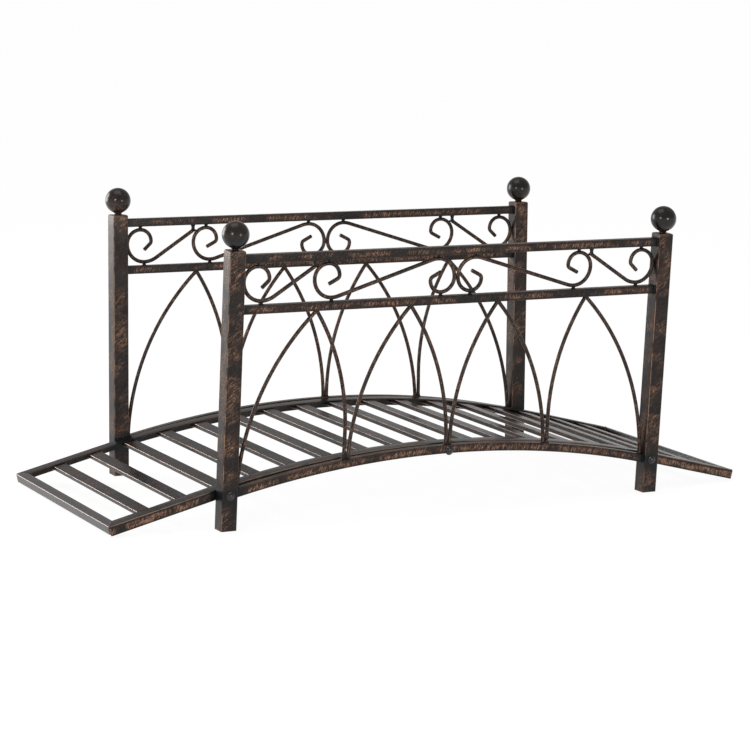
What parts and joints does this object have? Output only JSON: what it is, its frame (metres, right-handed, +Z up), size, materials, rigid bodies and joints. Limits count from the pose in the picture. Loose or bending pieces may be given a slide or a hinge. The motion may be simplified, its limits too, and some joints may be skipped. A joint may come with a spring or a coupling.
{
  "type": "decorative metal garden bridge",
  "caption": "Small arched steel garden bridge with a slatted deck and railings of pointed arches and scrolls between ball-topped posts.",
  "frame": {"origin": "on the ground, below the middle of the deck", "axes": "+X along the bridge, +Y towards the rear railing, +Z up"},
  "size_m": [1.1012, 0.4842, 0.4609],
  "materials": {
    "copper_brushed_black": "black powder coat with a hand-brushed antique copper wash",
    "satin_black": "satin black with faint copper streaks"
  },
  "bodies": {
    "root": {"side_rail_front": "copper_brushed_black", "side_rail_rear": "copper_brushed_black", "top_rail_front": "copper_brushed_black", "top_rail_rear": "copper_brushed_black", "mid_rail_front": "copper_brushed_black", "mid_rail_rear": "copper_brushed_black", "lower_rail_front": "copper_brushed_black", "lower_rail_rear": "copper_brushed_black", "end_rail_left": "copper_brushed_black", "end_rail_right": "copper_brushed_black", "post_left_front": "copper_brushed_black", "post_left_rear": "copper_brushed_black", "post_right_front": "copper_brushed_black", "post_right_rear": "copper_brushed_black", "arches_left_front": "copper_brushed_black", "arches_left_rear": "copper_brushed_black", "arches_right_front": "copper_brushed_black", "arches_right_rear": "copper_brushed_black", "long_scroll_left_front": "copper_brushed_black", "long_scroll_left_rear": "copper_brushed_black", "long_scroll_right_front": "copper_brushed_black", "long_scroll_right_rear": "copper_brushed_black", "end_scroll_left_front": "copper_brushed_black", "end_scroll_left_rear": "copper_brushed_black", "end_scroll_right_front": "copper_brushed_black", "end_scroll_right_rear": "copper_brushed_black", "finial_left_front": "satin_black", "finial_left_rear": "satin_black", "finial_right_front": "satin_black", "finial_right_rear": "satin_black", "slat_01": "copper_brushed_black", "slat_02": "copper_brushed_black", "slat_03": "copper_brushed_black", "slat_04": "copper_brushed_black", "slat_05": "copper_brushed_black", "slat_06": "copper_brushed_black", "slat_07": "copper_brushed_black", "slat_08": "copper_brushed_black", "slat_09": "copper_brushed_black", "slat_10": "copper_brushed_black", "slat_11": "copper_brushed_black", "slat_12": "copper_brushed_black", "slat_13": "copper_brushed_black", "slat_14": "copper_brushed_black", "slat_15": "copper_brushed_black", "slat_16": "copper_brushed_black", "slat_17": "copper_brushed_black"}
  },
  "joints": []
}
